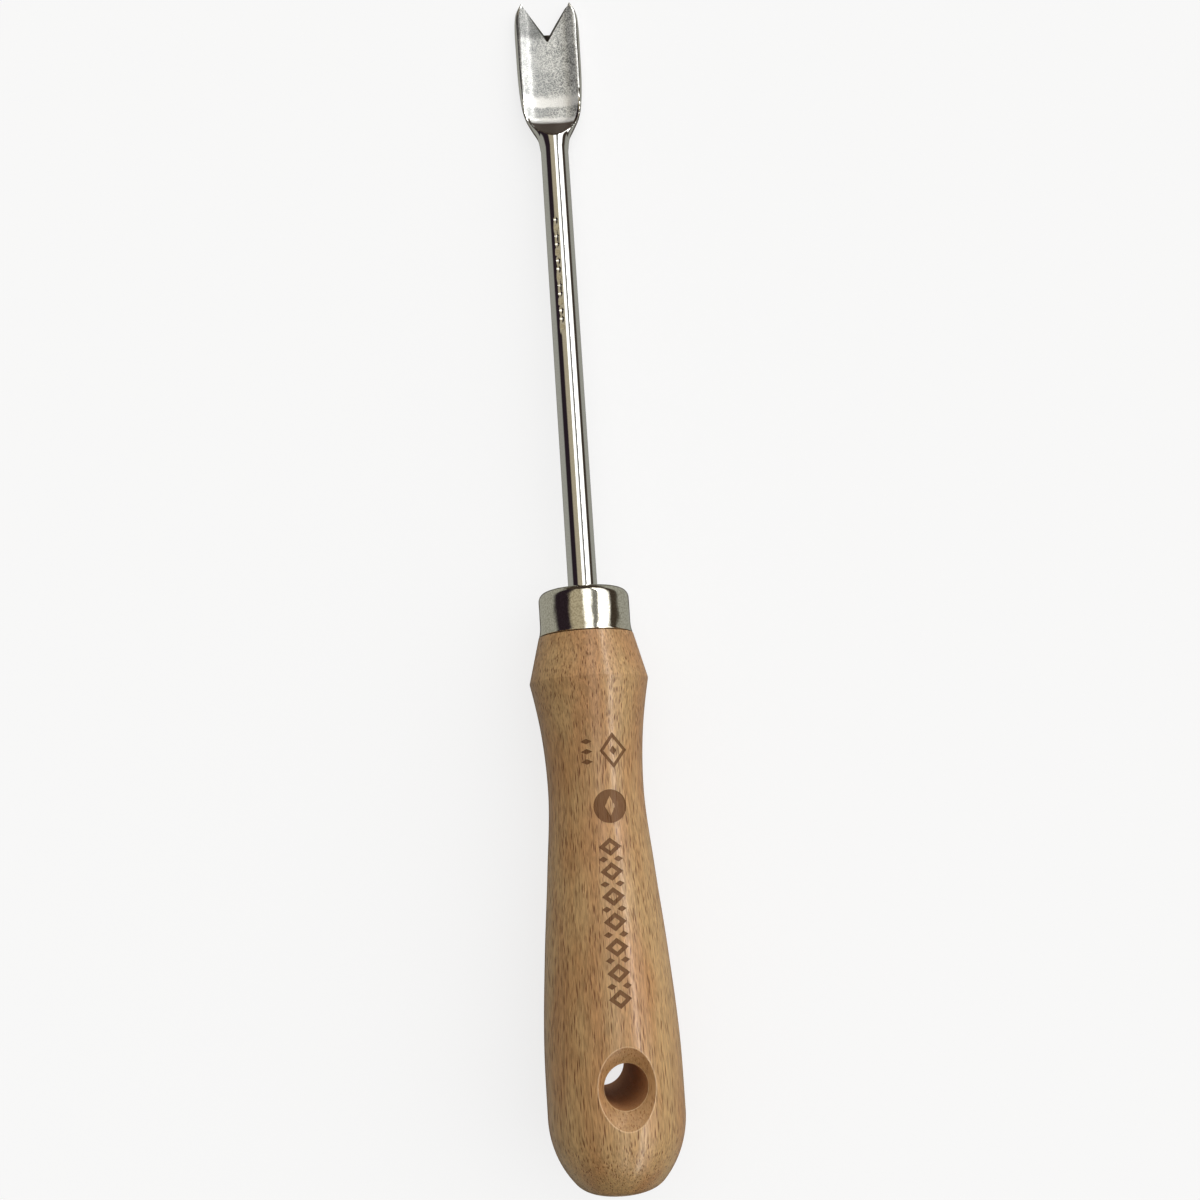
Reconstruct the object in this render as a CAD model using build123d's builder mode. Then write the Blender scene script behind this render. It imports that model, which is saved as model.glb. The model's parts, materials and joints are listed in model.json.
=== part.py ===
from build123d import *
from math import asin, atan2, cos, hypot, radians, sin, sqrt, tan
import os

os.makedirs("parts", exist_ok=True)

# A hand weeder: a steel fork whose tang is glued into a turned beech handle, with a pressed
# steel ferrule over the joint. Sizes are in millimetres. A station is a distance along the
# tool's axis from the butt of the handle, and a height is a distance from that axis towards
# the dished face of the blade.

OVERALL = 332.6

# Handle, turned on the axis
BELLY_R = 17.55
BELLY_AT = 17.6
BUTT_ROUND = 23.3
BUTT_CORNER = 6.0
WAIST_R = 12.72
WAIST_AT = 99.1
COLLAR_R = 16.0
COLLAR_AT = 127.8
COLLAR_ROUND = 0.9
WAIST_FLARE_ANGLE = 12.0
SHOULDER_R = 12.9
SHOULDER_AT = 140.1

# Hang hole, countersunk from both sides. The handle is glued on with the hole turned a
# little from the blade's normal, towards the right.
HOLE_AT = 26.8
HOLE_R = 5.5
HOLE_TURN = 9.0
HOLE_SINK_R = 9.9
HOLE_SINK_ANGLE = 120.0

# Ferrule, a pressed cap over the handle's tenon
FERRULE_R = 12.33
FERRULE_SHEET = 1.0
FERRULE_RIM_AT = 140.4
FERRULE_TOP_AT = 152.6
FERRULE_CORNER = 2.5
FERRULE_FLARE = 0.42
FERRULE_FLARE_LENGTH = 2.8
SHANK_CLEARANCE = 0.1

# Shank, tang and the bore that the tang is glued into
SHANK_R = 4.0
SHANK_END_AT = 289.6
TANG_R = 3.5
TANG_FROM = 136.0
TANG_END_AT = 75.0
TANG_POINT = 1.5
GROOVES = 6
GROOVE_PITCH = 9.0
GROOVE_DEPTH = 0.6
GROOVE_HALF_WIDTH = 1.2
BORE_R = 4.75
BORE_END_AT = 73.5
DRILL_POINT_ANGLE = 118.0

# Blade
NECK_AT = 283.6
NECK_R = 3.7
NECK_TOP_END_AT = 287.6
SWELL_R = 11.5
SWELL_END_AT = 295.8
BLADE_HALF_WIDTH = 9.6
BLADE_BACK = -3.5
BACK_FLAT_AT = 294.6
BACK_ROUND = 1.0
LIP_HEIGHT = 0.8
LIP_LEVEL_AT = 301.6
TIP_HEIGHT = 0.0
TIP_HALF_SPAN = 7.3
TIP_ARC_FROM = 324.6

# Dish, pressed into the face: wider at the top than at the floor
DISH_FLOOR = -1.3
DISH_FLOOR_HALF_WIDTH = 5.4
DISH_FLOOR_HEEL_AT = 293.0
DISH_FLOOR_CORNER = 3.0
DISH_TOP = 4.2
DISH_TOP_HALF_WIDTH = 14.9
DISH_TOP_HEEL_AT = 285.7
DISH_TOP_CORNER = 8.0
DISH_ROUND = 2.0

# Notch, ground deeper on the face than on the back
NOTCH_FACE_AT = 320.2
NOTCH_FACE_FLAT = 0.4
NOTCH_BACK_AT = 324.0
NOTCH_BACK_FLAT = 1.7
NOTCH_BACK_HALF_SPAN = 5.95
NOTCH_RUN_OUT = 5.0

# How the tool lies: on the crest of the collar and on the back of the prongs
crest_centre_r = COLLAR_R - COLLAR_ROUND
rest_run = OVERALL - COLLAR_AT
rest_rise = crest_centre_r + BLADE_BACK
tilt = atan2(rest_rise, rest_run) + asin(COLLAR_ROUND / hypot(rest_run, rest_rise))

# The origin is under the middle of the tool's length, on the surface that it lies on
round_centre_r = BELLY_R - BUTT_ROUND
butt_r = round_centre_r + sqrt(BUTT_ROUND**2 - BELLY_AT**2)
flat_r = round_centre_r + sqrt((BUTT_ROUND - BUTT_CORNER) ** 2 - (BELLY_AT - BUTT_CORNER) ** 2)
low_y = -flat_r * sin(tilt) - BUTT_CORNER * (1 - cos(tilt))
high_y = OVERALL * cos(tilt)
axis_y = -(low_y + high_y) / 2
axis_z = COLLAR_ROUND + crest_centre_r * cos(tilt) + COLLAR_AT * sin(tilt)

# The tool's plane holds its axis: x across the blade, y along the axis towards the fork,
# z towards the dished face. The side plane has x along the axis and y towards the face.
tool = Plane(origin=(0, axis_y, axis_z), x_dir=(1, 0, 0), z_dir=(0, sin(tilt), cos(tilt)))
side = Plane(origin=tool.origin, x_dir=tool.y_dir, z_dir=tool.x_dir)
tool_axis = Axis(tool.origin, tool.y_dir)
height_axis = Axis(tool.origin, tool.z_dir)

# The tenon fills the ferrule
tenon_r = FERRULE_R - FERRULE_SHEET
tenon_top = FERRULE_TOP_AT - FERRULE_SHEET
tenon_round = FERRULE_CORNER - FERRULE_SHEET
corner_r = FERRULE_R - FERRULE_CORNER
corner_at = FERRULE_TOP_AT - FERRULE_CORNER

# The blind bore, as a half outline from the axis
bore_outline = [
    (0, tenon_top),
    (BORE_R, tenon_top),
    (BORE_R, BORE_END_AT),
    (0, BORE_END_AT - BORE_R / tan(radians(DRILL_POINT_ANGLE / 2))),
]

# Handle: beech, turned to a belly, a waist and a crisp collar, with a tenon at the front
flare_slope = radians(WAIST_FLARE_ANGLE)
cone_slope = atan2(COLLAR_R - SHOULDER_R, SHOULDER_AT - COLLAR_AT)


def on_crest(turn):
    """The point of the collar's rounded crest where its tangent has turned this much."""
    return (crest_centre_r + COLLAR_ROUND * cos(turn), COLLAR_AT + COLLAR_ROUND * sin(turn))


with BuildPart() as handle:
    with BuildSketch(tool):
        with BuildLine():
            Line((0, 0), (butt_r, 0))
            RadiusArc((butt_r, 0), (BELLY_R, BELLY_AT), -BUTT_ROUND)
            Spline(
                (BELLY_R, BELLY_AT),
                (17.5, 33.6),
                (16.0, 57.6),
                (14.15, 78.1),
                (WAIST_R, WAIST_AT),
                (13.6, 113.6),
                on_crest(-flare_slope),
                tangents=[(0, 1), (sin(flare_slope), cos(flare_slope))],
            )
            ThreePointArc(on_crest(-flare_slope), on_crest(0), on_crest(cone_slope))
            Polyline(
                on_crest(cone_slope),
                (SHOULDER_R, SHOULDER_AT),
                (tenon_r, SHOULDER_AT),
                (tenon_r, corner_at),
            )
            RadiusArc((tenon_r, corner_at), (corner_r, tenon_top), -tenon_round)
            Polyline((corner_r, tenon_top), (0, tenon_top), (0, 0))
        make_face()
    revolve(axis=tool_axis)
    butt_edge = handle.edges().filter_by(GeomType.CIRCLE).sort_by(tool_axis)[0]
    fillet(butt_edge, BUTT_CORNER)
    with BuildSketch(tool):
        with BuildLine():
            Polyline(*bore_outline, close=True)
        make_face()
    revolve(axis=tool_axis, mode=Mode.SUBTRACT)
    # The hang hole: a countersink from each side, and the bore between them
    hole_centre = tool.from_local_coords(Vector(0, HOLE_AT, 0))
    hole_direction = tool.z_dir.rotate(tool_axis, HOLE_TURN)
    for outward in (hole_direction, -hole_direction):
        mouth = Plane(
            origin=hole_centre + outward * BELLY_R,
            x_dir=tool.y_dir,
            z_dir=outward,
        )
        with Locations(mouth):
            CounterSinkHole(
                radius=HOLE_R,
                counter_sink_radius=HOLE_SINK_R,
                counter_sink_angle=HOLE_SINK_ANGLE,
            )

# Ferrule: one cap of pressed steel, its top pierced for the shank and its rim flared
flare_at = FERRULE_RIM_AT + FERRULE_FLARE_LENGTH
rim_outer_r = FERRULE_R + FERRULE_FLARE
rim_inner_r = rim_outer_r - FERRULE_SHEET
pierced_r = SHANK_R + SHANK_CLEARANCE

with BuildPart() as ferrule:
    with BuildSketch(tool):
        with BuildLine():
            Line((pierced_r, FERRULE_TOP_AT), (corner_r, FERRULE_TOP_AT))
            RadiusArc((corner_r, FERRULE_TOP_AT), (FERRULE_R, corner_at), FERRULE_CORNER)
            Line((FERRULE_R, corner_at), (FERRULE_R, flare_at))
            Spline(
                (FERRULE_R, flare_at),
                (rim_outer_r, FERRULE_RIM_AT),
                tangents=[(0, -1), (0.3, -1)],
            )
            Line((rim_outer_r, FERRULE_RIM_AT), (rim_inner_r, FERRULE_RIM_AT))
            Spline(
                (rim_inner_r, FERRULE_RIM_AT),
                (tenon_r, flare_at),
                tangents=[(-0.3, 1), (0, 1)],
            )
            Line((tenon_r, flare_at), (tenon_r, corner_at))
            RadiusArc((tenon_r, corner_at), (corner_r, tenon_top), -tenon_round)
            Polyline(
                (corner_r, tenon_top),
                (pierced_r, tenon_top),
                (pierced_r, FERRULE_TOP_AT),
            )
        make_face()
    revolve(axis=tool_axis)

# Fork: one stainless forging of blade, shank and tang. The tang's rolled grooves key the glue.
tang_outline = [
    (0, TANG_END_AT),
    (TANG_R - TANG_POINT, TANG_END_AT),
    (TANG_R, TANG_END_AT + TANG_POINT),
]
for groove in range(1, GROOVES + 1):
    groove_at = TANG_END_AT + groove * GROOVE_PITCH
    tang_outline += [
        (TANG_R, groove_at - GROOVE_HALF_WIDTH),
        (TANG_R - GROOVE_DEPTH, groove_at),
        (TANG_R, groove_at + GROOVE_HALF_WIDTH),
    ]
tang_outline += [
    (TANG_R, TANG_FROM),
    (SHANK_R, TANG_FROM + SHANK_R - TANG_R),
    (SHANK_R, SHANK_END_AT),
    (0, SHANK_END_AT),
]


def notch_outline(bottom_at, flat, half_span):
    """The notch at one height: a V with a narrow flat bottom, run out past the prongs."""
    return [
        (-flat / 2, bottom_at),
        (flat / 2, bottom_at),
        (half_span, OVERALL),
        (half_span, OVERALL + NOTCH_RUN_OUT),
        (-half_span, OVERALL + NOTCH_RUN_OUT),
        (-half_span, OVERALL),
    ]


notch_back = notch_outline(NOTCH_BACK_AT, NOTCH_BACK_FLAT, NOTCH_BACK_HALF_SPAN)
notch_face = notch_outline(NOTCH_FACE_AT, NOTCH_FACE_FLAT, TIP_HALF_SPAN)
dish_reach = OVERALL + NOTCH_RUN_OUT

with BuildPart() as fork:
    # The blade's blank: its plan outline, cut to its side outline, and both run back into
    # the round shank through a swell turned on the axis
    with BuildSketch(tool):
        with BuildLine():
            Line((0, NECK_AT), (NECK_R, NECK_AT))
            Spline(
                (NECK_R, NECK_AT),
                (4.75, 288.0),
                (6.5, 292.0),
                (7.75, 295.0),
                (8.8, 299.0),
                (9.4, 306.6),
                (BLADE_HALF_WIDTH, TIP_ARC_FROM),
                tangents=[(0, 1), (0, 1)],
            )
            ThreePointArc(
                (BLADE_HALF_WIDTH, TIP_ARC_FROM),
                (9.0, 329.6),
                (TIP_HALF_SPAN, OVERALL),
            )
            Line((TIP_HALF_SPAN, OVERALL), (0, OVERALL))
            mirror(about=Plane.YZ)
        make_face()
    extrude(amount=SHANK_R, both=True)
    with BuildSketch(side):
        with BuildLine():
            Polyline(
                (NECK_TOP_END_AT, NECK_R),
                (NECK_AT, NECK_R),
                (NECK_AT, -NECK_R),
                (NECK_TOP_END_AT, -NECK_R),
                (BACK_FLAT_AT, BLADE_BACK),
                (OVERALL, BLADE_BACK),
                (OVERALL, TIP_HEIGHT),
                (LIP_LEVEL_AT, LIP_HEIGHT),
            )
            Spline(
                (LIP_LEVEL_AT, LIP_HEIGHT),
                (294.6, 2.1),
                (NECK_TOP_END_AT, NECK_R),
                tangents=[(-1, 0), (-1, 0)],
            )
        make_face()
    extrude(amount=SWELL_R, both=True, mode=Mode.INTERSECT)
    with BuildSketch(tool):
        with BuildLine():
            Line((0, NECK_AT), ((NECK_R + SHANK_R) / 2, NECK_AT))
            Spline(
                ((NECK_R + SHANK_R) / 2, NECK_AT),
                (5.4, 289.2),
                (SWELL_R, SWELL_END_AT),
                tangents=[(0, 1), (1, 1)],
            )
            Polyline(
                (SWELL_R, SWELL_END_AT),
                (SWELL_R, OVERALL),
                (0, OVERALL),
                (0, NECK_AT),
            )
        make_face()
    revolve(axis=tool_axis, mode=Mode.INTERSECT)
    back_edges = fork.edges().group_by(height_axis)[0].filter_by(GeomType.LINE, reverse=True)
    fillet(back_edges, BACK_ROUND)
    # The shank and the tang
    with BuildSketch(tool):
        with BuildLine():
            Polyline(*tang_outline, close=True)
        make_face()
    revolve(axis=tool_axis)
    # The pressed dish, with a soft corner all round its floor
    with BuildSketch(tool.offset(DISH_FLOOR)):
        with Locations((0, DISH_FLOOR_HEEL_AT)):
            RectangleRounded(
                2 * DISH_FLOOR_HALF_WIDTH,
                dish_reach - DISH_FLOOR_HEEL_AT,
                DISH_FLOOR_CORNER,
                align=(Align.CENTER, Align.MIN),
            )
    with BuildSketch(tool.offset(DISH_TOP)):
        with Locations((0, DISH_TOP_HEEL_AT)):
            RectangleRounded(
                2 * DISH_TOP_HALF_WIDTH,
                dish_reach + DISH_TOP_CORNER - DISH_TOP_HEEL_AT,
                DISH_TOP_CORNER,
                align=(Align.CENTER, Align.MIN),
            )
    loft(ruled=True, mode=Mode.SUBTRACT)
    floor_face = fork.faces().filter_by(Axis(tool.origin, tool.z_dir)).sort_by(height_axis)[1]
    prong_end = floor_face.edges().sort_by(tool_axis)[-1]
    fillet(floor_face.edges() - [prong_end], DISH_ROUND)
    # The notch, filed through from the face
    with BuildSketch(tool.offset(BLADE_BACK)):
        with BuildLine():
            Polyline(*notch_back, close=True)
        make_face()
    for height in (DISH_FLOOR, SHANK_R):
        with BuildSketch(tool.offset(height)):
            with BuildLine():
                Polyline(*notch_face, close=True)
            make_face()
    loft(ruled=True, mode=Mode.SUBTRACT)

# Adhesive: cured resin that fills the bore round the tang
with BuildPart() as tang_adhesive:
    with BuildSketch(tool):
        with BuildLine():
            Polyline(*bore_outline, close=True)
        make_face()
    revolve(axis=tool_axis)
    add(fork.part, mode=Mode.SUBTRACT)

handle.part.label = "handle"
ferrule.part.label = "ferrule"
fork.part.label = "fork"
tang_adhesive.part.label = "tang_adhesive"
export_step(handle.part, "parts/handle.step")
export_step(ferrule.part, "parts/ferrule.step")
export_step(fork.part, "parts/fork.step")
export_step(tang_adhesive.part, "parts/tang_adhesive.step")
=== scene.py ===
import json
from math import asin, atan2, cos, hypot, pi, radians, sin, sqrt, tan

import bmesh
import bpy
from mathutils import Matrix, Vector


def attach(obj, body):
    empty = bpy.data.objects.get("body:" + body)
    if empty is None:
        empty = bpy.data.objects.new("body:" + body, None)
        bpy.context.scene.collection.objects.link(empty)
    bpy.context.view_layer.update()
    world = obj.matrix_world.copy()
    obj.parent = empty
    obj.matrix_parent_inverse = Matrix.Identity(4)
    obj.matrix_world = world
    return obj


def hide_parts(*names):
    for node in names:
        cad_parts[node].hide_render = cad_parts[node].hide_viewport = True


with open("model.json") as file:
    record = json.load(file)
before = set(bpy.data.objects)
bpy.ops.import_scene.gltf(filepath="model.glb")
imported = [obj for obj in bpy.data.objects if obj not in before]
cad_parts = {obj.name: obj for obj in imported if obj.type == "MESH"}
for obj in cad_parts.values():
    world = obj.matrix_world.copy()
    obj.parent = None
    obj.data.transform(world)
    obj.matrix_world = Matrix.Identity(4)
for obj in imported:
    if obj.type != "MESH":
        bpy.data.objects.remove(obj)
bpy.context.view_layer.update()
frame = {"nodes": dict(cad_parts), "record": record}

# The tool's own frame: x across the blade, y along the axis from the butt to the prongs, and
# z towards the dished face. The tool lies nose down, so this frame is tipped in the part's.
mm = 0.001
HOLE_AT = 26.8 * mm
mounts = {mount["name"]: mount for mount in frame["record"]["mounts"]}
across = Vector((1, 0, 0))
along = Vector(mounts["grip"]["axis"]).normalized()
butt = Vector(mounts["hang_hole"]["pos_m"]) - HOLE_AT * along
tool = Matrix((across, along, across.cross(along))).transposed().to_4x4()
tool.translation = butt

# Camera: held over the handle, a little to the left of the tool, and aimed along it at the
# shank, so that the handle is seen from above and the blade at a slant.
EYE = Vector((-8.38, 94.25, 319.9)) * mm
AIM = Vector((4.47, 149.9, 0.12)) * mm
ROLL = 0.067
LENS_MM = 35.63
eye = tool @ EYE
line_of_sight = (tool @ AIM - eye).normalized()
right = line_of_sight.cross(along).normalized()
up = right.cross(line_of_sight)
turned_right = right * cos(ROLL) - up * sin(ROLL)
turned_up = right * sin(ROLL) + up * cos(ROLL)
bpy.ops.object.camera_add()
camera = bpy.context.object
camera.matrix_world = Matrix((turned_right, turned_up, -line_of_sight)).transposed().to_4x4()
camera.location = eye
camera.data.lens = LENS_MM
camera.data.clip_start = 10 * mm
bpy.context.scene.camera = camera
bpy.context.scene.view_settings.view_transform = "Standard"


# Handle: beech, turned on a lathe to a belly, a waist and a crisp collar, with a tenon for the
# ferrule and a blind bore for the tang. It is cross-bored and countersunk for hanging, marked
# with a hot iron, sanded and given a satin lacquer.
BELLY_R = 17.55
BELLY_AT = 17.6
BUTT_ROUND = 23.3
BUTT_CORNER = 6.0
WAIST_KNOTS = [(17.5, 33.6), (16.0, 57.6), (14.15, 78.1), (12.72, 99.1), (13.6, 113.6)]
COLLAR_R = 16.0
COLLAR_AT = 127.8
COLLAR_ROUND = 0.9
FLARE_SLOPE = radians(12)
SHOULDER_R = 12.9
SHOULDER_AT = 140.1
TENON_R = 11.33
TENON_TOP = 151.6
TENON_CORNER = 1.5
BORE_R = 4.75
BORE_END_AT = 73.5
BORE_POINT = 2.85
HOLE_R = 5.5
HOLE_TURN = radians(9)
SINK_R = 9.9
SINK_HALF_ANGLE = radians(60)
RIM_WEAR = 0.17
AROUND_HANDLE = 144
AROUND_HOLE = 96
SHARP = radians(14)
SMOOTH = radians(32)


class Wire:
    """A socket in a material: sums on it add Math nodes, and make() adds any other node."""

    def __init__(self, tree, socket=None):
        self.tree = tree
        self.socket = socket

    def make(self, kind, settings=(), inputs=(), output=0):
        node = self.tree.nodes.new("ShaderNode" + kind)
        for name, value in dict(settings).items():
            if name == "stops":
                for number, (at, shade) in enumerate(value):
                    stops = node.color_ramp.elements
                    stop = stops[number] if number < 2 else stops.new(at)
                    stop.position = at
                    stop.color = shade
            else:
                setattr(node, name, value)
        for name, value in dict(inputs).items():
            if isinstance(value, Wire):
                self.tree.links.new(value.socket, node.inputs[name])
            else:
                node.inputs[name].default_value = value
        return Wire(self.tree, node.outputs[output] if node.outputs else None)

    def math(self, operation, *values):
        """One Math node on these values. This socket is left out unless it is one of them."""
        return self.make("Math", {"operation": operation}, enumerate(values))

    def __add__(self, other):
        return self.math("ADD", self, other)

    __radd__ = __add__

    def __sub__(self, other):
        return self.math("SUBTRACT", self, other)

    def __rsub__(self, other):
        return self.math("SUBTRACT", other, self)

    def __mul__(self, other):
        return self.math("MULTIPLY", self, other)

    __rmul__ = __mul__

    def rise(self, low, high):
        """0 below low, 1 above high, and a smooth step between them."""
        ends = {"Value": self, "From Min": low, "From Max": high}
        return self.make("MapRange", {"interpolation_type": "SMOOTHSTEP"}, ends)

    def stretched(self, x, y, z):
        """Coordinates whose pattern is drawn out to these lengths."""
        return self.make("VectorMath", {"operation": "DIVIDE"}, {0: self, 1: (x, y, z)})

    def noise(self, detail=2.0):
        """Soft noise, in lumps about one unit of these coordinates across."""
        return self.make("TexNoise", {}, {"Vector": self, "Scale": 1.0, "Detail": detail})

    def cells(self):
        """How far each point is from its cell's middle, and a chance number for the cell."""
        voronoi = {"Vector": self, "Scale": 1.0}
        off_middle = self.make("TexVoronoi", {}, voronoi)
        chance = self.make("TexVoronoi", {}, voronoi, output=1).part(0)
        return off_middle, chance

    def part(self, number):
        """One number of a vector."""
        return self.make("SeparateXYZ", {}, {"Vector": self}, output=number)

    def mixed(self, other, share):
        """This colour with a share of another one."""
        return self.make("Mix", {"data_type": "RGBA"}, {0: share, 6: self, 7: other}, output=2)

    def darkened(self, share):
        """This colour times a number."""
        return self.make("VectorMath", {"operation": "SCALE"}, {0: self, "Scale": share})


def colour(red, green, blue):
    """A colour as a paint chart gives it, from 0 to 255, as the renderer takes it."""
    return tuple((value / 255) ** 2.2 for value in (red, green, blue)) + (1.0,)


def finish_of(name):
    """A new material, and a wire with the place of each point in the tool's frame, in mm."""
    material = bpy.data.materials.new(name)
    material.use_nodes = True
    material.node_tree.nodes.clear()
    start = Wire(material.node_tree)
    place = {
        "Vector": start.make("TexCoord", output="Object"),
        "Location": tool.translation,
        "Rotation": tool.to_euler(),
        "Scale": (mm, mm, mm),
    }
    return material, start.make("Mapping", {"vector_type": "TEXTURE"}, place)


def surface(wire, sockets, height=None, depth=0.0):
    """The shader itself, with a relief of this depth in mm."""
    if height is not None:
        relief = {"Height": height, "Strength": 1.0, "Distance": depth * mm}
        sockets = {**sockets, "Normal": wire.make("Bump", {}, relief)}
    shader = wire.make("BsdfPrincipled", {}, sockets)
    wire.make("OutputMaterial", {}, {"Surface": shader})


def beech(name, char_grain_and_painted_light=None, char_grain_and_painted_light_share=0.82, roughness=0.42, coat=0.6):
    """Steamed beech: pinkish tan in patches, with short dark flecks along the grain."""
    material, place = finish_of(name)
    patch = place.stretched(9, 40, 9).noise(2.0).rise(0.35, 0.65)
    fibre = place.stretched(0.16, 7, 0.16).noise(3.0).rise(0.3, 0.7)
    streak = place.stretched(0.45, 3.6, 0.45).noise(2.0).rise(0.3, 0.7)
    grain = place.stretched(0.9, 30, 0.9).noise(2.0)

    def flecks(width, length, size, keep):
        """Short dashes along the grain, one in each cell, or none in cells left to chance."""
        off_middle, chance = place.stretched(width, length, width).cells()
        return (1 - off_middle.rise(size * 0.4, size)) * chance.rise(0.9 - keep, 1.1 - keep)

    fleck = flecks(0.56, 6.2, 0.36, 0.85)
    speck = flecks(0.36, 3.4, 0.36, 0.75)
    base = place.make("RGB")
    base.socket.default_value = colour(189, 152, 104)
    base = base.mixed(colour(177, 131, 85), patch)
    base = base.darkened(0.54 + 0.40 * grain + 0.16 * fibre + 0.38 * streak)
    base = base.mixed(colour(122, 78, 42), speck * 0.7)
    base = base.mixed(colour(104, 62, 30), fleck * 0.85)
    # A second tone over the wood: burn marks, cut end grain, painted shade in the hang hole's bore and
    # a painted highlight on its rim
    if char_grain_and_painted_light is not None:
        base = base.mixed(char_grain_and_painted_light, char_grain_and_painted_light_share + 0.12 * fibre)
    height = fibre * 0.2 + streak * 0.3 - fleck * 0.9 - speck * 0.4 + grain * 0.4
    sockets = {
        "Base Color": base,
        "Roughness": roughness + 0.12 * (streak - 0.5) + 0.2 * fleck,
        "Coat Weight": coat * (0.3 + 0.8 * streak),
        "Specular IOR Level": 0.35,
        "Coat Roughness": 0.2,
    }
    surface(place, sockets, height, 0.05)
    return material


sanded_beech = beech("sanded_beech")
# The hang hole's rounded rim: beech mixed paler, a painted highlight
rim_painted_highlight_beech = beech("rim_painted_highlight_beech", char_grain_and_painted_light=colour(224, 186, 142), char_grain_and_painted_light_share=0.35)
countersunk_beech = beech("countersunk_beech", char_grain_and_painted_light=colour(156, 110, 66), char_grain_and_painted_light_share=0.45, coat=0.2)
# The hang hole's bore: raw, unlacquered end grain, with a darker, redder tint that is partly painted
# shade
hole_bore_beech_painted_shade = beech("hole_bore_beech_painted_shade", char_grain_and_painted_light=colour(176, 122, 80), char_grain_and_painted_light_share=0.7, roughness=0.8, coat=0.0)
scorched_beech = beech("scorched_beech", char_grain_and_painted_light=colour(98, 62, 30), roughness=0.6, coat=0.1)
toasted_beech = beech("toasted_beech", char_grain_and_painted_light=colour(132, 96, 66), roughness=0.55, coat=0.1)


def arc(centre, radius, start, stop, steps):
    """Points on a round of a turned outline; 0 points away from the axis, and a quarter turn
    towards the blade."""
    turns = [start + (stop - start) * step / steps for step in range(steps + 1)]
    return [(centre[0] + radius * cos(turn), centre[1] + radius * sin(turn)) for turn in turns]


def fair_run(knots, first_slope, last_slope, spacing):
    """Points of a fair curve through knots of (radius, station)."""
    gaps = [after[1] - before[1] for before, after in zip(knots, knots[1:])]
    rises = [after[0] - before[0] for before, after in zip(knots, knots[1:])]
    slopes = [first_slope]
    for i in range(1, len(gaps)):
        before = rises[i - 1] / gaps[i - 1]
        after = rises[i] / gaps[i]
        slopes.append((before * gaps[i] + after * gaps[i - 1]) / (gaps[i - 1] + gaps[i]))
    slopes.append(last_slope)
    points = [knots[0]]
    for i, gap in enumerate(gaps):
        (r, at), rise = knots[i], rises[i]
        steps = max(2, round(gap / spacing))
        for step in range(1, steps + 1):
            t = step / steps
            bend = (1 - t) * slopes[i] * gap - t * slopes[i + 1] * gap + (2 * t - 1) * rise
            points.append((r + rise * t + t * (1 - t) * bend, at + gap * t))
    return points


def straight(start, stop, spacing):
    """Points on a straight stretch of an outline, without its start."""
    steps = max(1, round(hypot(stop[0] - start[0], stop[1] - start[1]) / spacing))
    return [
        (start[0] + (stop[0] - start[0]) * step / steps, start[1] + (stop[1] - start[1]) * step / steps)
        for step in range(1, steps + 1)
    ]


def turned(name, outline, around, finish):
    """Turns an outline of (radius, station) in mm on the tool's axis, as on a lathe."""
    bpy.ops.object.select_all(action="DESELECT")
    bpy.ops.mesh.primitive_plane_add(size=mm)
    piece = bpy.context.object
    piece.name = name
    piece.data.materials.append(finish)
    bpy.ops.object.mode_set(mode="EDIT")
    bpy.ops.mesh.select_mode(type="VERT")
    bpy.ops.mesh.merge(type="CENTER")
    points = [Vector((radius, station, 0)) * mm for radius, station in outline]
    bpy.ops.transform.translate(value=points[0])
    for before, after in zip(points, points[1:]):
        bpy.ops.mesh.extrude_region_move(TRANSFORM_OT_translate={"value": after - before})
    bpy.ops.mesh.select_all(action="SELECT")
    bpy.ops.mesh.spin(steps=around, angle=2 * pi, center=(0, 0, 0), axis=(0, 1, 0))
    bpy.ops.mesh.select_all(action="SELECT")
    bpy.ops.mesh.remove_doubles(threshold=0.001 * mm)
    bpy.ops.mesh.normals_make_consistent(inside=False)
    bpy.ops.object.mode_set(mode="OBJECT")
    return piece


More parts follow.
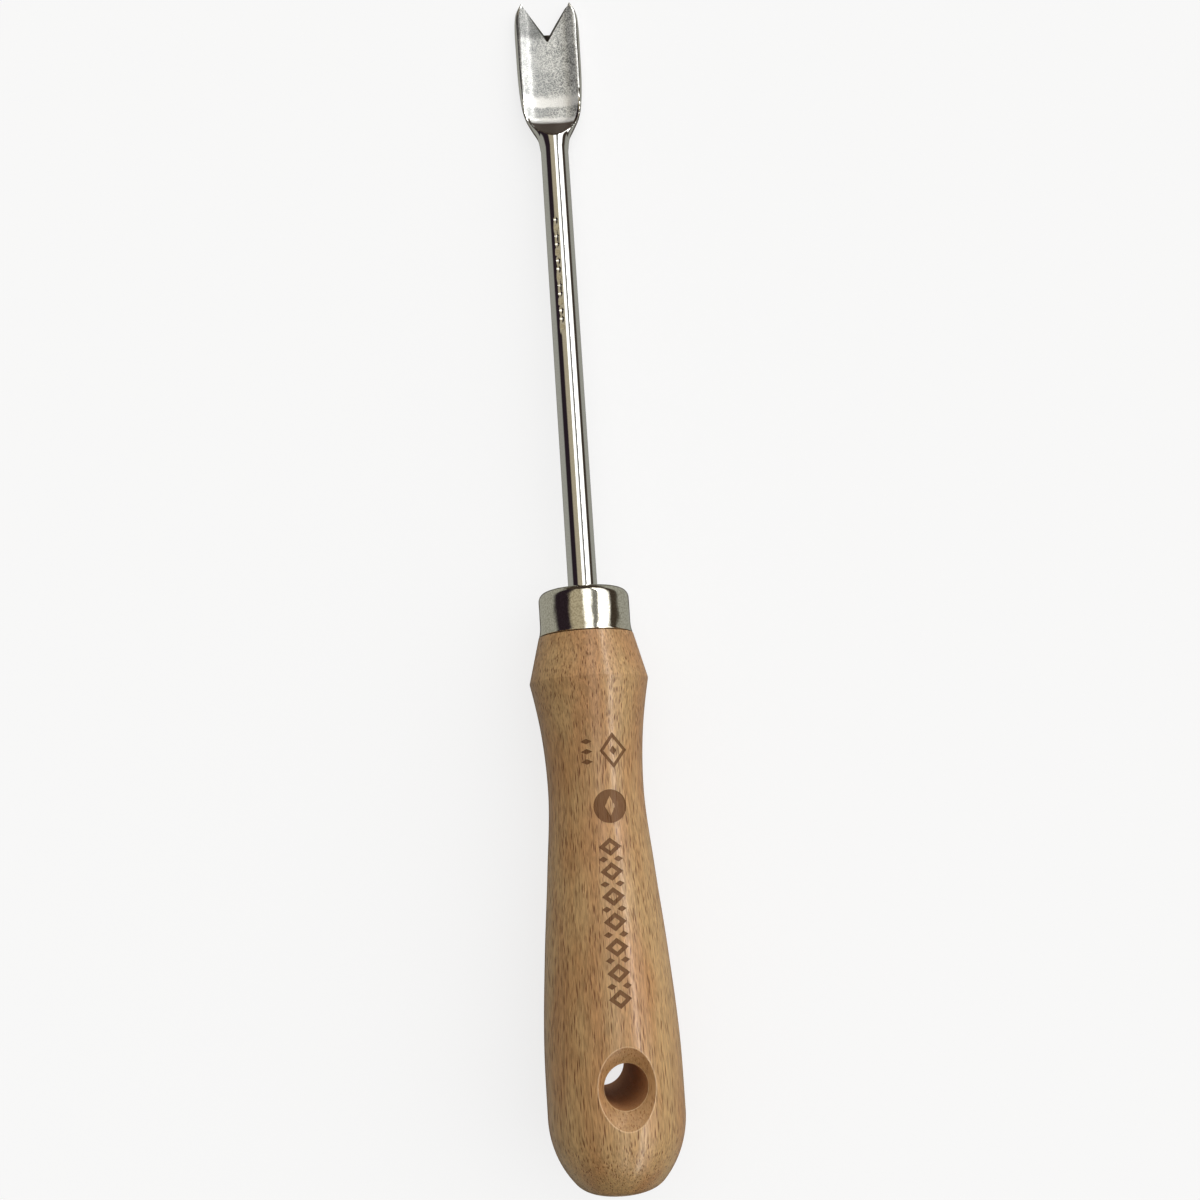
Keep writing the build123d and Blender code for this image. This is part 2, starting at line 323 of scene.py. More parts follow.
def handle_outline(skin):
    """The handle's outline, or one that lies under it by a skin's thickness."""
    crest_r = COLLAR_R - COLLAR_ROUND
    cone_slope = atan2(COLLAR_R - SHOULDER_R, SHOULDER_AT - COLLAR_AT)
    centre_r = BELLY_R - BUTT_ROUND
    corner_centre = BELLY_AT - BUTT_CORNER
    inner_round = BUTT_ROUND - BUTT_CORNER
    flat_r = centre_r + sqrt(inner_round**2 - corner_centre**2)
    lean = asin(corner_centre / inner_round)
    outline = straight((0, skin), (flat_r, skin), 2.0)
    outline += arc((flat_r, BUTT_CORNER), BUTT_CORNER - skin, -pi / 2, -lean, 8)[1:]
    outline += arc((centre_r, BELLY_AT), BUTT_ROUND - skin, -lean, 0, 14)[1:]
    crest_start = arc((crest_r, COLLAR_AT), COLLAR_ROUND, -FLARE_SLOPE, -FLARE_SLOPE, 1)[0]
    knots = [(BELLY_R, BELLY_AT)] + WAIST_KNOTS + [crest_start]
    knots = [(r - skin, at) for r, at in knots]
    outline += fair_run(knots, 0, tan(FLARE_SLOPE), 1.6)[1:]
    outline += arc((crest_r, COLLAR_AT), COLLAR_ROUND - skin, -FLARE_SLOPE, cone_slope, 5)[1:]
    outline += straight(outline[-1], (SHOULDER_R - skin, SHOULDER_AT), 1.6)
    outline += straight(outline[-1], (TENON_R, SHOULDER_AT), 0.8)
    outline += straight(outline[-1], (TENON_R, TENON_TOP - TENON_CORNER), 4.0)
    outline += arc((TENON_R - TENON_CORNER, TENON_TOP - TENON_CORNER), TENON_CORNER, 0, pi / 2, 4)[1:]
    outline += straight(outline[-1], (BORE_R, TENON_TOP), 2.0)
    outline += straight(outline[-1], (BORE_R, BORE_END_AT), 8.0)
    outline += straight(outline[-1], (0, BORE_END_AT - BORE_POINT), 2.0)
    return [(0, skin)] + outline


def cut(piece, cutter):
    """Cuts a piece with another one, which is used up. New faces keep the cutter's finish."""
    modifier = piece.modifiers.new("cut", "BOOLEAN")
    modifier.operation = "DIFFERENCE"
    modifier.solver = "EXACT"
    modifier.material_mode = "TRANSFER"
    modifier.object = cutter
    bpy.ops.object.select_all(action="DESELECT")
    bpy.context.view_layer.objects.active = piece
    piece.select_set(True)
    bpy.ops.object.modifier_apply(modifier=modifier.name)
    bpy.data.objects.remove(cutter)


handle = turned("handle_turned", handle_outline(0), AROUND_HANDLE, sanded_beech)

# The hang hole's cutter is an hourglass: two countersinks and the bore between them
SINK_REACH = 3.0
wide_r = SINK_R + SINK_REACH * tan(SINK_HALF_ANGLE)
mouth_at = BELLY_R + SINK_REACH
throat_at = BELLY_R - (SINK_R - HOLE_R) / tan(SINK_HALF_ANGLE)
hourglass = [(0, mouth_at), (wide_r, mouth_at), (HOLE_R, throat_at)]
hourglass += [(HOLE_R, -throat_at), (wide_r, -mouth_at), (0, -mouth_at)]
hole_cutter = turned("hang_hole_cutter", hourglass, AROUND_HOLE, countersunk_beech)
# The bore between the countersinks takes the finish with painted shade
hole_cutter.data.materials.append(hole_bore_beech_painted_shade)
for face in hole_cutter.data.polygons:
    face.material_index = int(abs(face.center.y) < throat_at * mm)
hole_place = Matrix.Translation((0, HOLE_AT, 0)) @ Matrix.Rotation(HOLE_TURN, 4, "Y")
hole_cutter.data.transform(hole_place @ Matrix.Rotation(pi / 2, 4, "X"))
cut(handle, hole_cutter)


def soften(piece, chosen, width, segments, finish=None):
    """Rounds off the sharp edges whose middles a test picks, and may give them a new finish."""
    if finish:
        piece.data.materials.append(finish)
    index = len(piece.data.materials) - 1 if finish else -1
    bpy.ops.object.select_all(action="DESELECT")
    bpy.context.view_layer.objects.active = piece
    bpy.ops.object.mode_set(mode="EDIT")
    bpy.ops.mesh.select_mode(type="EDGE")
    bpy.ops.mesh.select_all(action="DESELECT")
    mesh = bmesh.from_edit_mesh(piece.data)
    for edge in mesh.edges:
        middle = (edge.verts[0].co + edge.verts[1].co) / (2 * mm)
        edge.select = edge.calc_face_angle(0) > SHARP and chosen(middle)
    bmesh.update_edit_mesh(piece.data)
    bpy.ops.mesh.bevel(offset=width * mm, segments=segments, affect="EDGES", material=index)
    bpy.ops.object.mode_set(mode="OBJECT")


def on_hole_rim(middle):
    """Whether a point is near the hang hole's axis but outside its bore."""
    arm = middle - Vector((0, HOLE_AT / mm, 0))
    off_axis = arm.cross(Vector((sin(HOLE_TURN), 0, cos(HOLE_TURN)))).length
    return HOLE_R - 0.1 < off_axis < SINK_R + 2


# The hang hole's rim is rounded off, and the rounding takes the paler finish, a painted highlight
soften(handle, on_hole_rim, RIM_WEAR, 3, rim_painted_highlight_beech)

# Burned ornament, right of the middle of the face: an outlined lozenge with three ticks, a
# disc with a lozenge left in it, and a row of lozenges and studs. Each is a prism, and all
# are cut off by a skin under the surface, so that they sink only as deep as the iron went.
BURN_DEPTH = 0.16
PRISM_LOW = 7.0
PRISM_HIGH = 22.0
EMBLEM = (4.7, 108.4)
EMBLEM_SIZE = (3.5, 4.6)
EMBLEM_STROKE = 0.8
EMBLEM_MIDDLE = (0.9, 1.2)
TICK_X = -2.1
TICK = (1.5, 0.7)
TICK_PITCH = 2.6
ROW_X = 2.3
ROW_FROM = 47.6
ROW_PITCH = 6.1
ROW_COUNT = 7
LOZENGE = (2.9, 2.3)
LOZENGE_STROKE = 1.0
STUD = (1.2, 0.75)
STUD_OFF = 1.9
DISC = (3.0, 94.3)
DISC_R = 4.25
DISC_LOZENGE = (1.3, 2.6)


def prism(x, at, half_x, half_y, corners=4, stroke=0.0, finish=scorched_beech):
    """An upright prism over the face, solid or with a stroke's width of wall."""
    bpy.ops.object.select_all(action="DESELECT")
    bpy.ops.mesh.primitive_circle_add(
        vertices=corners, radius=mm, fill_type="NGON", location=(x * mm, at * mm, PRISM_LOW * mm)
    )
    piece = bpy.context.object
    piece.data.materials.append(finish)
    bpy.ops.object.mode_set(mode="EDIT")
    bpy.ops.transform.resize(value=(half_x, half_y, 1))
    if stroke:
        bpy.ops.mesh.inset(thickness=stroke * mm)
        bpy.ops.mesh.delete(type="FACE")
        bpy.ops.mesh.select_all(action="SELECT")
    height = (PRISM_HIGH - PRISM_LOW) * mm
    bpy.ops.mesh.extrude_region_move(TRANSFORM_OT_translate={"value": (0, 0, height)})
    bpy.ops.mesh.select_all(action="SELECT")
    bpy.ops.mesh.normals_make_consistent(inside=False)
    bpy.ops.object.mode_set(mode="OBJECT")
    return piece


def joined(parts, name):
    """Joins loose parts into one mesh at the origin."""
    bpy.ops.object.select_all(action="DESELECT")
    for part in parts:
        part.select_set(True)
    bpy.context.view_layer.objects.active = parts[0]
    bpy.ops.object.join()
    bpy.ops.object.transform_apply(location=True, rotation=True, scale=True)
    parts[0].name = name
    return parts[0]


def row_at(number):
    """The station of a place in the row, counted from the butt's end."""
    return ROW_FROM + ROW_PITCH * number


marks = [prism(*EMBLEM, *EMBLEM_SIZE, stroke=EMBLEM_STROKE), prism(*EMBLEM, *EMBLEM_MIDDLE)]
marks += [prism(TICK_X, EMBLEM[1] + TICK_PITCH * step, *TICK) for step in (-1, 0, 1)]
marks += [prism(*DISC, DISC_R, DISC_R, corners=40, finish=toasted_beech)]
marks += [prism(ROW_X, row_at(i), *LOZENGE, stroke=LOZENGE_STROKE) for i in range(ROW_COUNT)]
for i in range(ROW_COUNT - 1):
    marks += [prism(ROW_X + off, row_at(i + 0.5), *STUD) for off in (-STUD_OFF, STUD_OFF)]
iron = joined(marks, "iron")
cut(iron, prism(*DISC, *DISC_LOZENGE))
cut(iron, turned("skin", handle_outline(BURN_DEPTH), AROUND_HANDLE, scorched_beech))
cut(handle, iron)


def dress(piece):
    """Lays a finished piece where the tool lies, with its place in its mesh."""
    piece.data.transform(tool)
    bpy.ops.object.select_all(action="DESELECT")
    bpy.context.view_layer.objects.active = piece
    piece.select_set(True)
    bpy.ops.object.shade_smooth_by_angle(angle=SMOOTH)
    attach(piece, "root")


dress(handle)
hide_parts("handle")


# Ferrule: a cap of pressed and polished steel over the handle's tenon, its top pierced for the
# shank and its rim flared a little. The press has left it slightly wavy.
FERRULE_R = 12.33
FERRULE_SHEET = 1.0
FERRULE_RIM_AT = 140.4
FERRULE_TOP_AT = 152.6
FERRULE_CORNER = 2.5
FERRULE_FLARE = 0.42
FERRULE_FLARE_LENGTH = 2.8
PIERCED_R = 4.1
FERRULE_RIM_WEAR = 0.22
AROUND_FERRULE = 192
WAVINESS = 0.13
WAVE_LENGTH = 3.6


def steel(name, roughness, scratch_depth, tints):
    """Stainless steel with hair-fine lines along the tool, mottled between two tints."""
    material, place = finish_of(name)
    lines = place.stretched(0.05, 9, 0.05).noise(2.0)
    smear = place.stretched(3, 12, 3).noise(2.0)
    mottle = place.stretched(0.5, 0.5, 0.5).noise(1.0)
    base = place.make("RGB")
    base.socket.default_value = colour(*tints[0])
    sockets = {
        "Base Color": base.mixed(colour(*tints[1]), mottle.rise(0.35, 0.65)),
        "Metallic": 1.0,
        "Roughness": roughness + 0.05 * (smear - 0.5) + 0.04 * (lines - 0.5),
    }
    surface(place, sockets, lines + 2 * mottle, scratch_depth)
    return material


flare_at = FERRULE_RIM_AT + FERRULE_FLARE_LENGTH
corner_at = FERRULE_TOP_AT - FERRULE_CORNER
corner_r = FERRULE_R - FERRULE_CORNER


def flared(outer_r):
    """The flare's outline from the rim up, where the wall's radius is this above it."""
    knots = [(outer_r + FERRULE_FLARE, FERRULE_RIM_AT), (outer_r, flare_at)]
    return fair_run(knots, -0.3, 0, 0.5)


outer = [(PIERCED_R, FERRULE_TOP_AT)]
outer += straight(outer[0], (corner_r, FERRULE_TOP_AT), 1.5)
outer += arc((corner_r, corner_at), FERRULE_CORNER, pi / 2, 0, 10)[1:]
outer += straight(outer[-1], (FERRULE_R, flare_at), 0.8)
outer += flared(FERRULE_R)[::-1][1:]
inner = flared(FERRULE_R - FERRULE_SHEET)
inner += straight(inner[-1], (FERRULE_R - FERRULE_SHEET, corner_at), 2.0)
inner += arc((corner_r, corner_at), FERRULE_CORNER - FERRULE_SHEET, 0, pi / 2, 5)[1:]
inner += straight(inner[-1], (PIERCED_R, FERRULE_TOP_AT - FERRULE_SHEET), 2.0)
ferrule_steel = steel("ferrule_steel", 0.09, 0.003, [(212, 207, 192), (238, 234, 222)])
ferrule = turned("ferrule_pressed", outer + inner + outer[:1], AROUND_FERRULE, ferrule_steel)
soften(ferrule, lambda middle: middle.y < FERRULE_RIM_AT + 0.2, FERRULE_RIM_WEAR, 3)
waves = bpy.data.textures.new("press_waves", "CLOUDS")
waves.noise_scale = WAVE_LENGTH * mm
ripple = ferrule.modifiers.new("ripple", "DISPLACE")
ripple.texture = waves
ripple.strength = WAVINESS * mm
ripple.mid_level = 0.5
bpy.ops.object.modifier_apply(modifier=ripple.name)
dress(ferrule)
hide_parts("ferrule")


# Fork: one stainless forging. The tang has rolled grooves, the shank is round rod, and the
# blade is pressed out of it: a dish with a rounded lip, and a V filed through between the
# two prongs. The rod is polished like a mirror, and the dish is left finely dimpled.
SHANK_R = 4.0
TANG_R = 3.5
TANG_END_AT = 75.0
TANG_FROM = 136.0
TANG_POINT = 1.5
GROOVES = 6
GROOVE_PITCH = 9.0
GROOVE_DEPTH = 0.6
GROOVE_HALF_WIDTH = 1.2
BLADE_FROM = 283.6
BLADE_FORMED_AT = 296.0
TIP_AT = 332.6
TIP_HALF_SPAN = 7.3
BLADE_HALF_WIDTH = 9.6
BLADE_BACK = -3.5
BACK_CORNER = 1.2
LIP_HEIGHT = 0.8
LIP_LEVEL_AT = 301.6
LIP_ROUND = 2.0
LIP_ROUND_AT_TIP = 0.7
LIP_TAPER_AT = 322.0
TIP_HEIGHT = 0.0
DISH_FLOOR = -1.3
DISH_HALF_WIDTH = 5.4
DISH_HEEL_AT = 293.0
DISH_CORNER = 3.0
HEEL_TOP_AT = 287.0
HEEL_FOOT_AT = 291.5
DISH_SLOPE = tan(radians(30))
HEEL_SLOPE = tan(radians(37))
DISH_FILLET = 1.3
LIP_BLEND = 0.12
AROUND_FORK = 128
CORNER_STEPS = 8
ROD_STEP = 3.0
BLADE_STEP = 0.8
FINE_STEP = 0.3
FINE_BEFORE = 297.0
FINE_AFTER = 323.0


def at_station(knots, station):
    """A width or height by station, on a fair line through its knots."""
    for before, after in zip(knots, knots[1:]):
        if station <= after[1]:
            break
    i = knots.index(before)
    t = (station - before[1]) / (after[1] - before[1])
    ends = [knots[max(i - 1, 0)], before, after, knots[min(i + 2, len(knots) - 1)]]
    slope = [
        (ends[k + 1][0] - ends[k - 1][0]) / (ends[k + 1][1] - ends[k - 1][1]) * (after[1] - before[1])
        for k in (1, 2)
    ]
    rise = after[0] - before[0]
    return before[0] + rise * t + t * (1 - t) * ((1 - t) * slope[0] - t * slope[1] + (2 * t - 1) * rise)


HALF_WIDTHS = [(4.0, 283.6), (4.75, 288.0), (6.5, 292.0), (7.75, 295.0), (8.75, 299.0), (9.4, 306.6)]
HALF_WIDTHS += [(BLADE_HALF_WIDTH, 318.0), (9.58, 325.0), (9.0, 329.4), (TIP_HALF_SPAN, TIP_AT)]
LIP_HEIGHTS = [(4.0, 283.6), (3.6, 287.6), (2.1, 294.6), (LIP_HEIGHT, LIP_LEVEL_AT), (0.4, 317.1)]
LIP_HEIGHTS += [(TIP_HEIGHT, TIP_AT)]
BACKS = [(-4.0, 283.6), (-3.8, 288.0), (BLADE_BACK, 294.6), (BLADE_BACK, TIP_AT)]


def lower(a, b, blend):
    """The lower of two heights, with a rounded corner where they cross."""
    return (a + b - sqrt((a - b) ** 2 + 4 * blend**2)) / 2


def dish_height(x, station):
    """The height of the dish's surface: its floor, and the slopes round it."""
    side = abs(x) - DISH_HALF_WIDTH + DISH_CORNER
    heel = (DISH_HEEL_AT + DISH_CORNER - station) * HEEL_SLOPE / DISH_SLOPE
    past = hypot(max(side, 0), max(heel, 0)) + min(max(side, heel), 0) - DISH_CORNER
    return DISH_FLOOR + DISH_SLOPE * (past + sqrt(past**2 + DISH_FILLET**2)) / 2


def blade_section(station):
    """The blade's section as a half ring from the middle of its back to the middle of its face,
    which grows out of the round rod over the neck."""
    half, lip, back = (at_station(line, station) for line in (HALF_WIDTHS, LIP_HEIGHTS, BACKS))
    taper = max(station - LIP_TAPER_AT, 0) / (TIP_AT - LIP_TAPER_AT)
    lip_round = LIP_ROUND - (LIP_ROUND - LIP_ROUND_AT_TIP) * taper
    share = min(max((station - BLADE_FROM) / (BLADE_FORMED_AT - BLADE_FROM), 0), 1)
    formed = share * share * (3 - 2 * share)
    steps = AROUND_FORK // 2
    flank_low = steps * 3 // 8
    flank_high = steps * 4 // 8
    lip_in = steps * 5 // 8
    back_out = flank_low - CORNER_STEPS
    points = []
    for step in range(steps + 1):
        turn = -pi / 2 + pi * step / steps
        round_x = half * cos(turn)
        round_z = (lip - back) / 2 * sin(turn) + (lip + back) / 2
        if step <= back_out:
            x = (half - BACK_CORNER) * sin(pi / 2 * step / back_out)
            z = back
        elif step <= flank_low:
            corner = pi / 2 * (step - back_out) / CORNER_STEPS
            x = half - BACK_CORNER + BACK_CORNER * sin(corner)
            z = back + BACK_CORNER - BACK_CORNER * cos(corner)
        elif step < flank_high:
            x = half
            flank = lip - lip_round - back - BACK_CORNER
            z = back + BACK_CORNER + flank * (step - flank_low) / (flank_high - flank_low)
        elif step <= lip_in:
            corner = pi / 2 * (step - flank_high) / (lip_in - flank_high)
            x = half - lip_round + lip_round * cos(corner)
            z = lip - lip_round + lip_round * sin(corner)
        else:
            x = (half - lip_round) * (1 - (step - lip_in) / (steps - lip_in))
            z = lip
        x = round_x + (x - round_x) * formed
        z = round_z + (z - round_z) * formed
        if step >= flank_high:
            z = lower(z, dish_height(x, station), LIP_BLEND)
        points.append((x, z))
    return points


def ring_at(half_ring, station):
    """A closed ring round the tool's axis from its right half."""
    left = [(-x, z) for x, z in half_ring[-2:0:-1]]
    return [Vector((x, station, z)) * mm for x, z in half_ring + left]


def rod_ring(radius, station):
    """A ring of round rod, with as many points as the blade's rings."""
    steps = AROUND_FORK // 2
    turns = [-pi / 2 + pi * step / steps for step in range(steps + 1)]
    return ring_at([(radius * cos(turn), radius * sin(turn)) for turn in turns], station)


def drawn(name, rings, finish):
    """Draws a rod out from ring to ring: a disc is extruded, and its end is shaped each time."""
    bpy.ops.object.select_all(action="DESELECT")
    bpy.ops.mesh.primitive_circle_add(vertices=len(rings[0]), radius=mm, fill_type="NGON")
    piece = bpy.context.object
    piece.name = name
    piece.data.materials.append(finish)
    bpy.ops.object.mode_set(mode="EDIT")
    bpy.ops.mesh.select_mode(type="FACE")
    bpy.ops.mesh.select_all(action="SELECT")
    for number, ring in enumerate(rings):
        if number:
            bpy.ops.mesh.extrude_region_move()
        mesh = bmesh.from_edit_mesh(piece.data)
        end = next(face for face in reversed(list(mesh.faces)[-len(ring) - 2:]) if face.select)
        for vertex, place in zip(end.verts, ring):
            vertex.co = place
    bpy.ops.mesh.select_all(action="SELECT")
    bpy.ops.mesh.normals_make_consistent(inside=False)
    bpy.ops.object.mode_set(mode="OBJECT")
    return piece


tang = [(TANG_R - TANG_POINT, TANG_END_AT), (TANG_R, TANG_END_AT + TANG_POINT)]
for groove in range(1, GROOVES + 1):
    groove_at = TANG_END_AT + groove * GROOVE_PITCH
    tang += [
        (TANG_R, groove_at - GROOVE_HALF_WIDTH),
        (TANG_R - GROOVE_DEPTH, groove_at),
        (TANG_R, groove_at + GROOVE_HALF_WIDTH),
    ]
tang += [(TANG_R, TANG_FROM), (SHANK_R, TANG_FROM + SHANK_R - TANG_R)]
rings = [rod_ring(radius, station) for radius, station in tang]
station = TANG_FROM + 2
while station < BLADE_FROM:
    rings.append(rod_ring(SHANK_R, station))
    station += ROD_STEP
station = BLADE_FROM
while station < TIP_AT - 0.05:
    rings.append(ring_at(blade_section(station), station))
    station += BLADE_STEP if FINE_BEFORE <= station <= FINE_AFTER else FINE_STEP
rings.append(ring_at(blade_section(TIP_AT), TIP_AT))
mirror_steel = steel("mirror_steel", 0.04, 0.0010, [(224, 223, 220), (232, 231, 228)])
fork = drawn("fork_forged", rings, mirror_steel)

# The dish keeps the die's dimples. Its colour holds painted reflections, two white bands across it, one
# of them against the heel, and dark brown on the heel itself; painted shade on the left prong; and
# painted light, lighter to the right.
HEEL_BAND_ENDS = (294.8, 295.8)
NEXT_BAND_STARTS = (298.0, 299.0)
NEXT_BAND_ENDS = (301.2, 303.0)
LEFT_PRONG_SHADE_STARTS = (320.4, 322.4)
DISH_FINISH_INSIDE = 0.85
dished_steel, dish_place = finish_of("dished_steel")
sideways = dish_place.part(0)
dimple = dish_place.stretched(0.34, 0.34, 0.34).noise(1.0)
blotch = dish_place.stretched(2.6, 2.6, 2.6).noise(2.0)
bright = dimple.rise(0.36, 0.64) * 0.75 + blotch.rise(0.4, 0.6) * 0.25
forward = dish_place.part(1)
ragged = forward + 2.4 * (blotch - 0.5)
# Painted reflections: two white bands across the dish, one of them against the heel
heel_reflection_band = 1 - ragged.rise(*HEEL_BAND_ENDS)
next_reflection_band = ragged.rise(*NEXT_BAND_STARTS) * (1 - ragged.rise(*NEXT_BAND_ENDS))
# Painted shade: the left prong is darkened
left_prong_shade = ragged.rise(*LEFT_PRONG_SHADE_STARTS) * (1 - sideways.rise(-2.5, 0.5))
# Painted reflection: dark brown on the heel's steep slope
heel_painted_reflection = dish_place.make("RGB")
heel_painted_reflection.socket.default_value = colour(88, 76, 66)
dull = dish_place.make("RGB")
dull.socket.default_value = colour(134, 136, 137)
# The dimples' own mottle, with painted light: it grows paler towards the right
dimples_and_painted_light = dull.mixed(colour(226, 226, 222), bright * (0.6 + 0.5 * sideways.rise(-5, 4)))
# The white of the painted reflections
painted_white_reflection = dish_place.make("RGB")
painted_white_reflection.socket.default_value = colour(240, 239, 236)
tint = painted_white_reflection.mixed(dimples_and_painted_light, 1 - 0.8 * (next_reflection_band + heel_reflection_band))
tint = tint.darkened(1 - 0.5 * left_prong_shade)
dish_sockets = {
    "Base Color": heel_painted_reflection.mixed(tint, forward.rise(DISH_HEEL_AT - 0.2, DISH_HEEL_AT + 0.8)),
    # Painted light: the bright dimples are less metallic towards the right, which makes that side
    # lighter
    "Metallic": 0.72 - 0.5 * bright * sideways.rise(-3, 5),
    "Roughness": 0.35,
}
surface(dish_place, dish_sockets, dimple, 0.06)
fork.data.materials.append(dished_steel)
for face in fork.data.polygons:
    x, station, z = face.center / mm
    over = z - dish_height(x, station)
    if HEEL_TOP_AT < station <= HEEL_FOOT_AT:
        face.material_index = int(abs(over) < LIP_BLEND)
    elif HEEL_FOOT_AT < station < TIP_AT - 0.01:
        inside = abs(x) < at_station(HALF_WIDTHS, station) - DISH_FINISH_INSIDE
        face.material_index = int(inside and BLADE_BACK + 0.5 < z and over < 0.05)

# The notch: a V with a narrow flat bottom, wider on the face than on the back, left as filed
NOTCH_BACK = (1.7 / 2, 324.0, 5.95)
NOTCH_FACE = (0.4 / 2, 320.2, 7.3)
NOTCH_FACE_FROM = DISH_FLOOR
NOTCH_RUN_OUT = 3.0
NOTCH_OVERCUT = 0.3


def notch_ring(line, height):
    """The V at one height, run out past the tips."""
    bottom, bottom_at, at_tip = line
    spread = (at_tip - bottom) / (TIP_AT - bottom_at)
    top = bottom + spread * (TIP_AT + NOTCH_RUN_OUT - bottom_at)
    top_at = TIP_AT + NOTCH_RUN_OUT
    corners = [(bottom, bottom_at), (top, top_at), (-top, top_at), (-bottom, bottom_at)]
    return [Vector((x, at, height)) * mm for x, at in corners]


def between(line_a, line_b, share):
    """The notch's line at a share of the way from one height to another, or beyond it."""
    return tuple(a + (b - a) * share for a, b in zip(line_a, line_b))


below = between(NOTCH_FACE, NOTCH_BACK, 1 + NOTCH_OVERCUT)
below_height = BLADE_BACK - NOTCH_OVERCUT * (NOTCH_FACE_FROM - BLADE_BACK)
notch_rings = [notch_ring(below, below_height), notch_ring(NOTCH_FACE, NOTCH_FACE_FROM)]
notch_rings += [notch_ring(NOTCH_FACE, SHANK_R)]
filed_steel = steel("filed_steel", 0.36, 0.01, [(86, 82, 78), (112, 108, 102)])
cut(fork, drawn("notch_file", notch_rings, filed_steel))

# A row of punch marks along the shank, a little left of its crest
PUNCHED_FROM = 227.8
PUNCH_PITCH = 2.5
PUNCHES = 14
PUNCH_SLOPE = 2.8
PUNCH_DEPTH = 0.34
PUNCH_ABOVE = 0.08
PUNCH_LEAN = radians(-15)
punches = []
for number in range(PUNCHES):
    bpy.ops.object.select_all(action="DESELECT")
    bpy.ops.mesh.primitive_cone_add(
        vertices=4 if number % 3 else 12,
        radius1=0,
        radius2=PUNCH_SLOPE * (PUNCH_DEPTH + PUNCH_ABOVE) * mm,
        depth=(PUNCH_DEPTH + PUNCH_ABOVE) * mm,
        location=(
            0,
            (PUNCHED_FROM + PUNCH_PITCH * number) * mm,
            (SHANK_R + (PUNCH_ABOVE - PUNCH_DEPTH) / 2) * mm,
        ),
    )
    punches.append(bpy.context.object)
punch = joined(punches, "punch")
punch.data.materials.append(ferrule_steel)
punch.data.transform(Matrix.Rotation(PUNCH_LEAN, 4, "Y"))
cut(fork, punch)

dress(fork)
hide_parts("fork")


# Adhesive: cured resin in the blind bore round the tang, hidden by the handle.
resin, resin_place = finish_of("amber_resin")
cloud = resin_place.stretched(2, 2, 2).noise(2.0)
resin_tint = resin_place.make("RGB")
resin_tint.socket.default_value = colour(190, 150, 80)
resin_sockets = {
    "Base Color": resin_tint.mixed(colour(150, 104, 48), cloud),
    "Roughness": 0.3 + 0.2 * cloud,
}
surface(resin_place, resin_sockets, cloud, 0.05)
frame["nodes"]["tang_adhesive"].data.materials.clear()
frame["nodes"]["tang_adhesive"].data.materials.append(resin)


# Studio: a pale floor under the tool, and a tent of soft light whose panels the steel mirrors:
# white to the right of overhead, tan and dark to the left, and grey low down on both sides,
# with a brown panel on each side of straight down. The floor is clear from below.
FLOOR_SIZE = 3.0
FLOOR_GLOW = 0.72
bpy.ops.object.select_all(action="DESELECT")
bpy.ops.mesh.primitive_plane_add(size=FLOOR_SIZE)
floor = bpy.context.object
floor.name = "floor"
floor.visible_glossy = False
floor.visible_diffuse = False
paper = bpy.data.materials.new("paper")
paper.use_nodes = True
paper.node_tree.nodes.clear()
sheet = Wire(paper.node_tree)
white = sheet.make("BsdfDiffuse", {}, {"Color": colour(246, 246, 246)})
lit = sheet.make("Emission", {}, {"Color": (1.03, 1.03, 1.03, 1)})
white = sheet.make("MixShader", {}, {0: FLOOR_GLOW, 1: white, 2: lit})
clear = sheet.make("BsdfTransparent")
under = sheet.make("NewGeometry", output="Backfacing")
one_sided = sheet.make("MixShader", {}, {0: under, 1: white, 2: clear})
sheet.make("OutputMaterial", {}, {"Surface": one_sided})
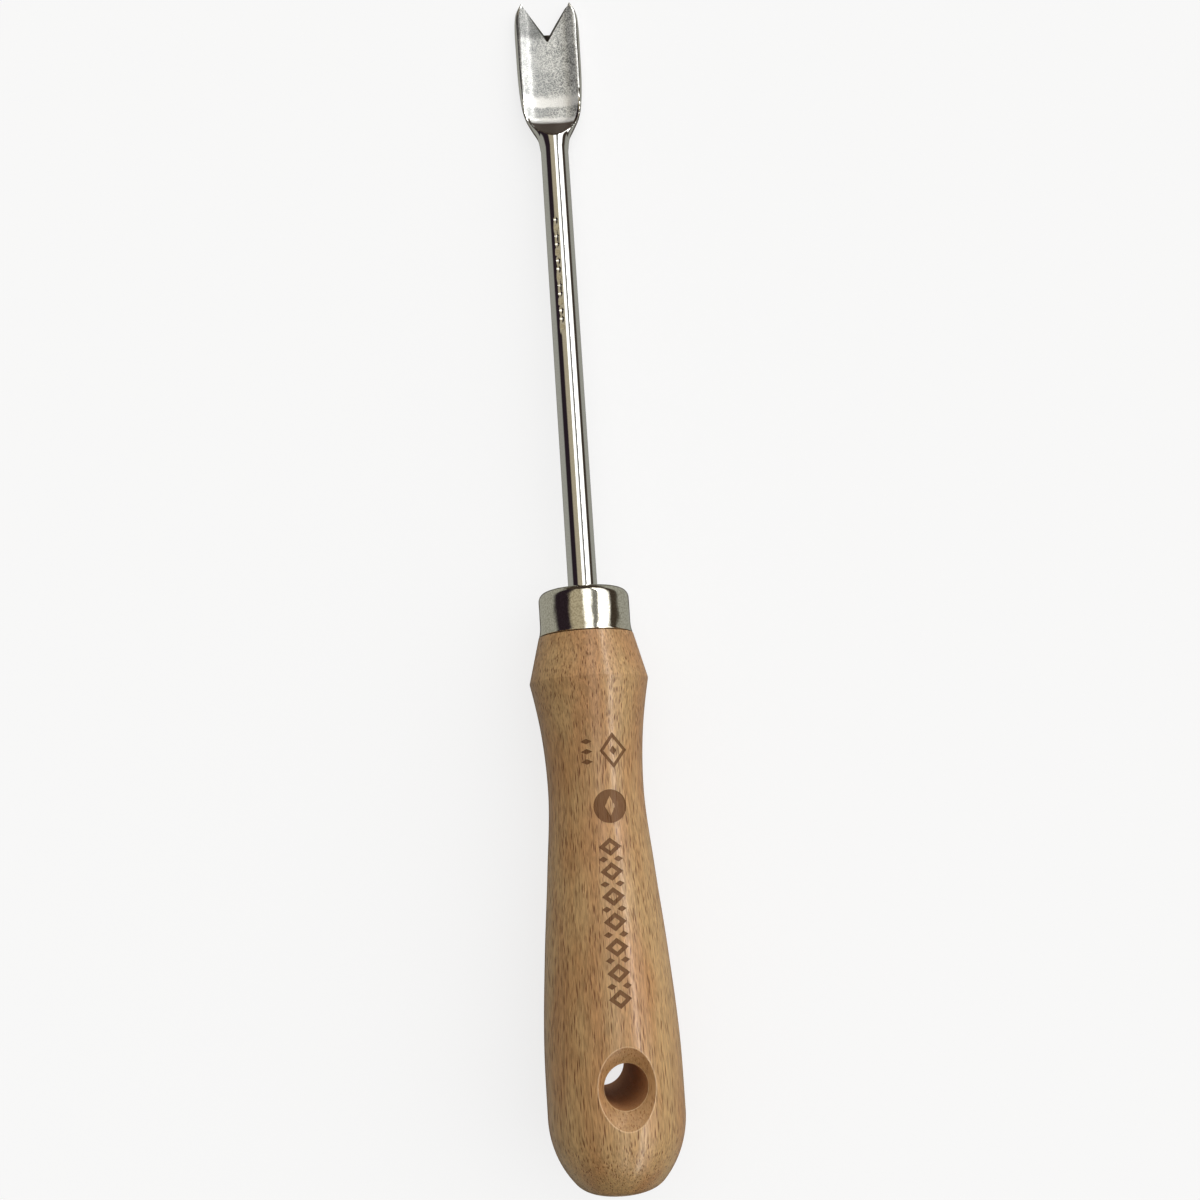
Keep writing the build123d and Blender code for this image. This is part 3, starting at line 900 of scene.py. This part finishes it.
floor.data.materials.append(paper)

# Panels round the tool's axis, as (degrees from overhead, to the right, and what is there)
GREY = colour(160, 160, 152)
DARK = colour(46, 38, 44)
TAN = colour(178, 168, 144)
WHITE = (1.9, 1.9, 1.86, 1)
LINE = colour(138, 138, 134)
HOT = (11.0, 10.8, 10.4, 1)
BROWN = colour(66, 58, 50)
PANELS = [(-180, GREY), (-175, GREY), (-170, BROWN), (-162, BROWN), (-154, GREY)]
PANELS += [(-86, GREY), (-76, DARK), (-42, DARK), (-34, TAN), (-3, TAN), (1, WHITE)]
PANELS += [(18, WHITE), (20, LINE), (34, LINE), (36, WHITE), (39, HOT), (45, HOT), (48, WHITE)]
PANELS += [(63, WHITE), (70, BROWN), (89, BROWN), (99, GREY), (154, GREY)]
PANELS += [(162, BROWN), (170, BROWN), (175, GREY), (180, GREY)]
world = bpy.data.worlds.new("tent")
bpy.context.scene.world = world
world.use_nodes = True
world.node_tree.nodes.clear()
tent = Wire(world.node_tree)
toward = tent.make("TexCoord", output="Generated")
east, north, height = (toward.part(number) for number in range(3))
turn = east.math("ARCTAN2", east, height) * (0.5 / pi) + 0.5
stops = [((degrees + 180) / 360, shade) for degrees, shade in PANELS]
panels = tent.make("ValToRGB", {"stops": stops}, {"Fac": turn})
panels = panels.mixed(BROWN, north.math("ABSOLUTE", north).rise(0.84, 0.93))

# The soft light comes from above, the right and the prongs' end, and less from elsewhere
level = (0.26 + 0.84 * east.rise(-0.9, 0.3)) * (0.10 + 0.98 * north.rise(-0.95, 0.32))
level = level * (0.60 + 0.40 * height.rise(-0.8, 0.5)) * 1.2
soft = tent.make("RGB")
soft.socket.default_value = (1.0, 0.99, 0.97, 1)
soft = soft.darkened(level)
ray = tent.make("LightPath", output="Is Glossy Ray")
seen = tent.make("LightPath", output="Is Camera Ray")
glow = soft.mixed(panels, ray).mixed((0.97, 0.97, 0.97, 1), seen)
light = tent.make("Background", {}, {"Color": glow, "Strength": 1.0})
tent.make("OutputWorld", {}, {"Surface": light})
